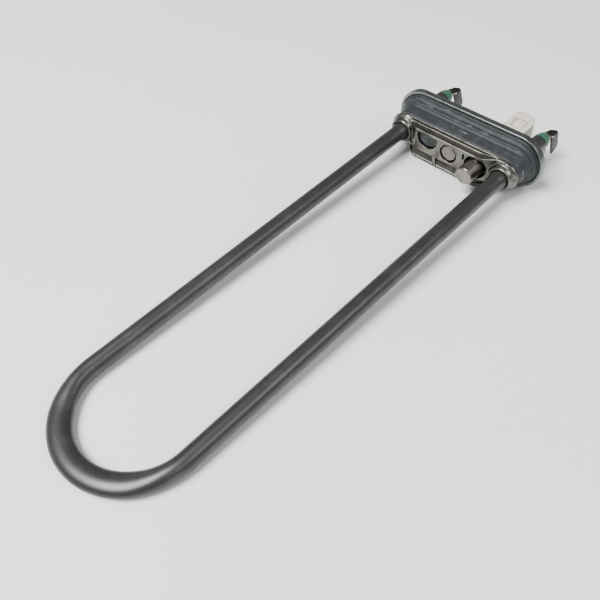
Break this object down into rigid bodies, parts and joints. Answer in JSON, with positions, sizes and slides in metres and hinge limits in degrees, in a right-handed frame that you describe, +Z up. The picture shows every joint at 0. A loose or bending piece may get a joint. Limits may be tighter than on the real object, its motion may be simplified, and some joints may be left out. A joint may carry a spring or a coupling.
{
  "type": "tubular immersion heater",
  "caption": "U-shaped tubular water heater on an oval flange with a rubber plug seal, a die-cast clamp bracket, a temperature sensor and spade terminals.",
  "frame": {"origin": "centre of the oval flange, level with the front face of the outer plate's raised rim, which meets the tub wall", "axes": "+X along the flange's long axis towards the sensor, +Y away from the tub towards the terminals, +Z up across the flange with the fin below; the loop reaches along -Y"},
  "size_m": [0.0888, 0.2931, 0.03],
  "materials": {
    "sheath_steel": "dark oxidised steel, satin",
    "magnesium_oxide": "packed powder, matt",
    "resistance_wire": "drawn wire, satin",
    "pin_steel": "drawn bar, satin",
    "green_resin": "cast resin, glossy",
    "spade_steel": "dull plated strip",
    "seal_rubber": "moulded, matt with a pale bloom",
    "plate_steel": "pressed stainless sheet, satin",
    "die_casting": "die-cast, satin",
    "bolt_steel": "zinc-plated, satin",
    "zinc_plating": "zinc-plated, dull",
    "sleeve_steel": "drawn stainless steel, satin",
    "compound": "filled compound, matt",
    "bead_glaze": "glazed bead",
    "housing_plastic": "moulded ivory plastic, satin",
    "contact_brass": "plated strip"
  },
  "bodies": {
    "root": {"heating_tube": "sheath_steel", "insulation_fill": "magnesium_oxide", "resistance_coil": "resistance_wire", "terminal_pin_left": "pin_steel", "terminal_pin_right": "pin_steel", "end_seal_left": "green_resin", "end_seal_right": "green_resin", "spade_terminal_left": "spade_steel", "spade_terminal_right": "spade_steel", "rubber_seal": "seal_rubber", "outer_plate": "plate_steel", "clamp_bracket": "die_casting", "clamp_bolt": "bolt_steel", "clamp_washer": "zinc_plating", "clamp_nut": "zinc_plating", "earth_tab": "zinc_plating", "sensor_sleeve": "sleeve_steel", "sensor_filling": "compound", "thermistor_bead": "bead_glaze", "sensor_leads": "resistance_wire", "sensor_housing": "housing_plastic", "sensor_contacts": "contact_brass"}
  },
  "joints": []
}
